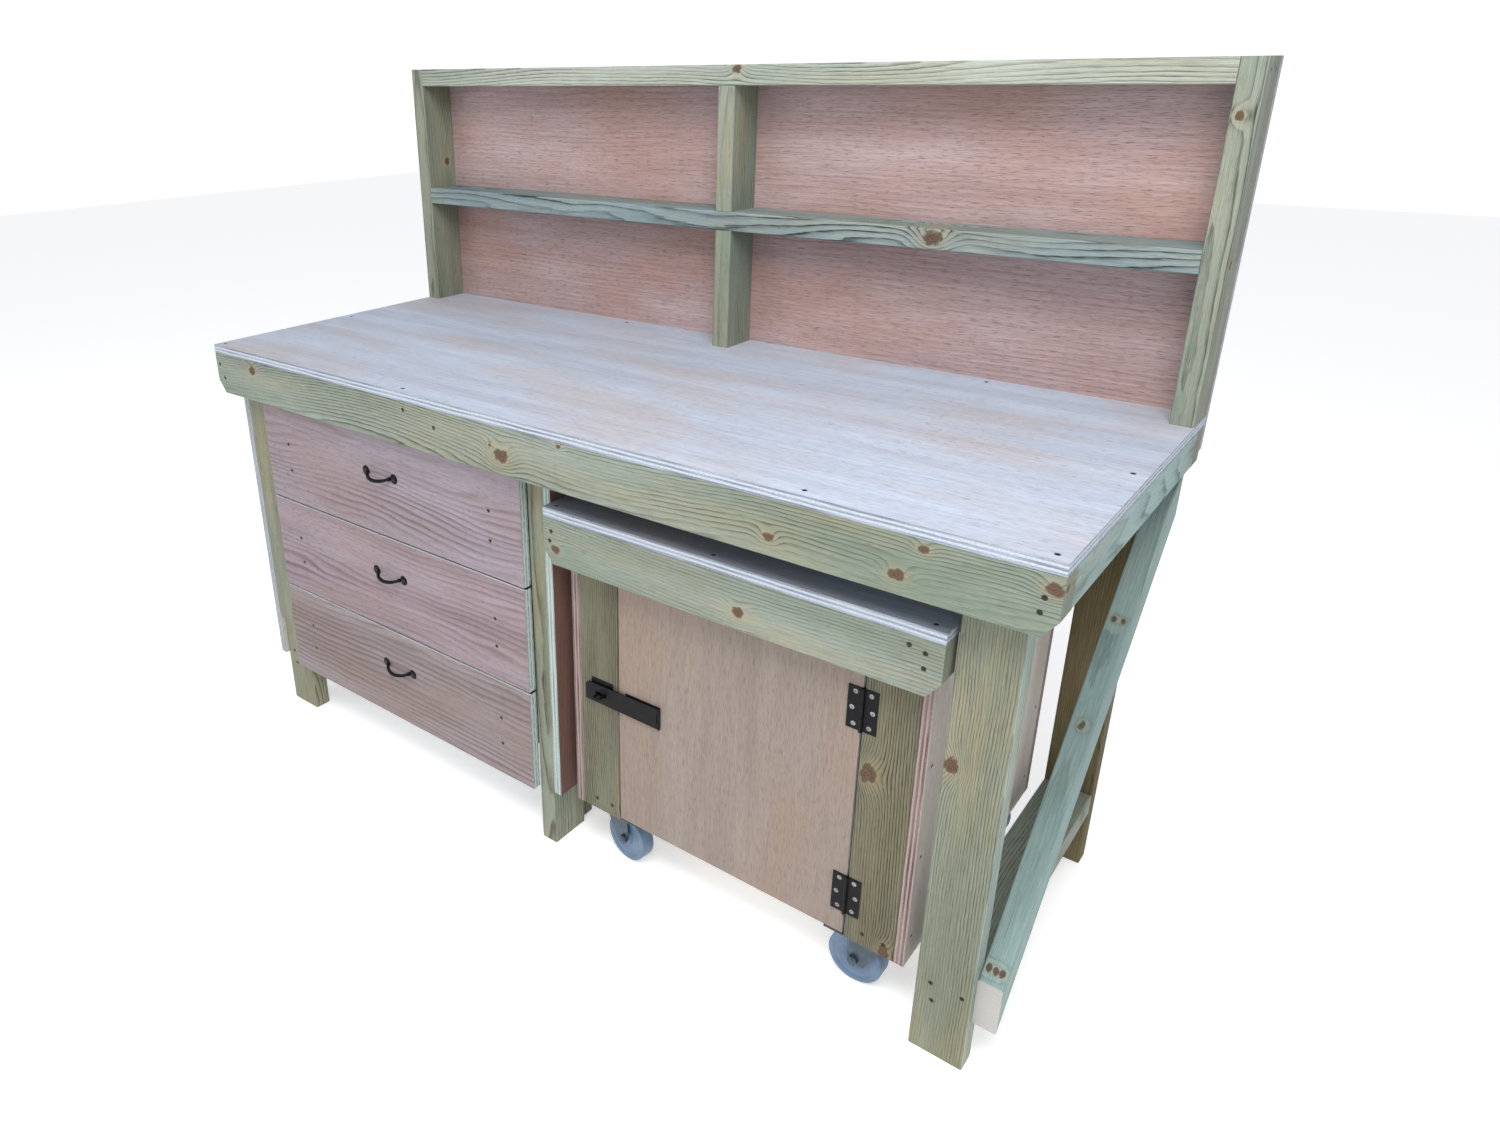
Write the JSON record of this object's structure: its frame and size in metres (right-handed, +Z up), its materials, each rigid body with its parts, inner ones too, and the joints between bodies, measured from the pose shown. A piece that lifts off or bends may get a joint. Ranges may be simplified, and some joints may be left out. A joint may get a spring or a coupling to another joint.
{
  "type": "potting bench",
  "caption": "Timber potting bench with a tall shelf back, stacked drawers on runners and a castored cupboard trolley that rolls out from under the worktop.",
  "frame": {"origin": "on the floor under the middle of the bench's footprint", "axes": "+X along the bench to its trolley end, +Y to the back, +Z up"},
  "size_m": [1.83, 0.738, 1.469],
  "materials": {
    "treated_pine": "weathered, open grain",
    "plywood": "matte, bare",
    "worktop_plywood": "bleached by the weather",
    "black_iron": "satin black",
    "zinc_steel": "zinc plated",
    "castor_steel": "dark passivated steel",
    "nylon": "smooth, pale blue"
  },
  "bodies": {
    "bench": {"worktop": "worktop_plywood", "front_rail": "treated_pine", "back_rail": "treated_pine", "cross_rails": "treated_pine", "leg_front_left": "treated_pine", "leg_front_middle": "treated_pine", "leg_front_right": "treated_pine", "leg_rear_left": "treated_pine", "leg_rear_middle": "treated_pine", "leg_rear_right": "treated_pine", "runner_posts": "treated_pine", "lower_rails": "treated_pine", "side_brace": "treated_pine", "side_panel": "plywood", "partition_panel": "plywood", "back_panel": "plywood", "upright_left": "treated_pine", "upright_middle": "treated_pine", "upright_right": "treated_pine", "shelf_rail": "treated_pine", "top_rail": "treated_pine", "drawer_channels": "zinc_steel", "bench_screws": "zinc_steel"},
    "drawer_bottom": {"drawer_bottom_front": "plywood", "drawer_bottom_box": "plywood", "drawer_bottom_handle": "black_iron", "drawer_bottom_runners": "zinc_steel", "drawer_bottom_screws": "zinc_steel"},
    "drawer_middle": {"drawer_middle_front": "plywood", "drawer_middle_box": "plywood", "drawer_middle_handle": "black_iron", "drawer_middle_runners": "zinc_steel", "drawer_middle_screws": "zinc_steel"},
    "drawer_top": {"drawer_top_front": "plywood", "drawer_top_box": "plywood", "drawer_top_handle": "black_iron", "drawer_top_runners": "zinc_steel", "drawer_top_screws": "zinc_steel"},
    "trolley": {"trolley_top": "worktop_plywood", "trolley_front_rail": "treated_pine", "trolley_posts": "treated_pine", "trolley_side_panels": "plywood", "trolley_back_panel": "plywood", "trolley_floor": "plywood", "trolley_hinge_leaves": "black_iron", "hasp_staple": "black_iron", "castor_plates": "castor_steel", "trolley_screws": "zinc_steel"},
    "door": {"trolley_door": "plywood", "door_hinge_leaves": "black_iron", "hasp_base": "black_iron"},
    "hasp": {"hasp_strap": "black_iron"},
    "castor_front_left": {"castor_front_left_fork": "castor_steel"},
    "wheel_front_left": {"castor_front_left_wheel": "nylon"},
    "castor_front_right": {"castor_front_right_fork": "castor_steel"},
    "wheel_front_right": {"castor_front_right_wheel": "nylon"},
    "castor_rear_left": {"castor_rear_left_fork": "castor_steel"},
    "wheel_rear_left": {"castor_rear_left_wheel": "nylon"},
    "castor_rear_right": {"castor_rear_right_fork": "castor_steel"},
    "wheel_rear_right": {"castor_rear_right_wheel": "nylon"}
  },
  "joints": [
    {"name": "drawer_bottom_slide", "type": "slide", "parent": "bench", "child": "drawer_bottom", "axis": [0, -1, 0], "range_m": [0, 0.38]},
    {"name": "drawer_middle_slide", "type": "slide", "parent": "bench", "child": "drawer_middle", "axis": [0, -1, 0], "range_m": [0, 0.38]},
    {"name": "drawer_top_slide", "type": "slide", "parent": "bench", "child": "drawer_top", "axis": [0, -1, 0], "range_m": [0, 0.38]},
    {"name": "trolley_roll", "type": "slide", "parent": "bench", "child": "trolley", "axis": [0, -1, 0], "range_m": [0, 0.75]},
    {"name": "door_hinge", "type": "hinge", "parent": "trolley", "child": "door", "pos_m": [0.64325, -0.3055, 0.386], "axis": [0, 0, 1], "range_deg": [0, 110]},
    {"name": "hasp_hinge", "type": "hinge", "parent": "door", "child": "hasp", "pos_m": [0.263, -0.3055, 0.391], "axis": [0, 0, 1], "range_deg": [0, 170]},
    {"name": "castor_front_left_swivel", "type": "hinge", "parent": "trolley", "child": "castor_front_left", "pos_m": [0.1415, -0.252, 0.11], "axis": [0, 0, 1], "continuous": true},
    {"name": "wheel_front_left_spin", "type": "hinge", "parent": "castor_front_left", "child": "wheel_front_left", "pos_m": [0.15928, -0.25482, 0.05], "axis": [0.1564, 0.9877, 0], "continuous": true},
    {"name": "castor_front_right_swivel", "type": "hinge", "parent": "trolley", "child": "castor_front_right", "pos_m": [0.6715, -0.252, 0.11], "axis": [0, 0, 1], "continuous": true},
    {"name": "wheel_front_right_spin", "type": "hinge", "parent": "castor_front_right", "child": "wheel_front_right", "pos_m": [0.6535, -0.252, 0.05], "axis": [0, -1, 0], "continuous": true},
    {"name": "castor_rear_left_swivel", "type": "hinge", "parent": "trolley", "child": "castor_rear_left", "pos_m": [0.1415, 0.226, 0.11], "axis": [0, 0, 1], "continuous": true},
    {"name": "wheel_rear_left_spin", "type": "hinge", "parent": "castor_rear_left", "child": "wheel_rear_left", "pos_m": [0.12459, 0.21984, 0.05], "axis": [0.342, -0.9397, 0], "continuous": true},
    {"name": "castor_rear_right_swivel", "type": "hinge", "parent": "trolley", "child": "castor_rear_right", "pos_m": [0.6715, 0.226, 0.11], "axis": [0, 0, 1], "continuous": true},
    {"name": "wheel_rear_right_spin", "type": "hinge", "parent": "castor_rear_right", "child": "wheel_rear_right", "pos_m": [0.68624, 0.23632, 0.05], "axis": [-0.5736, 0.8192, 0], "continuous": true}
  ]
}
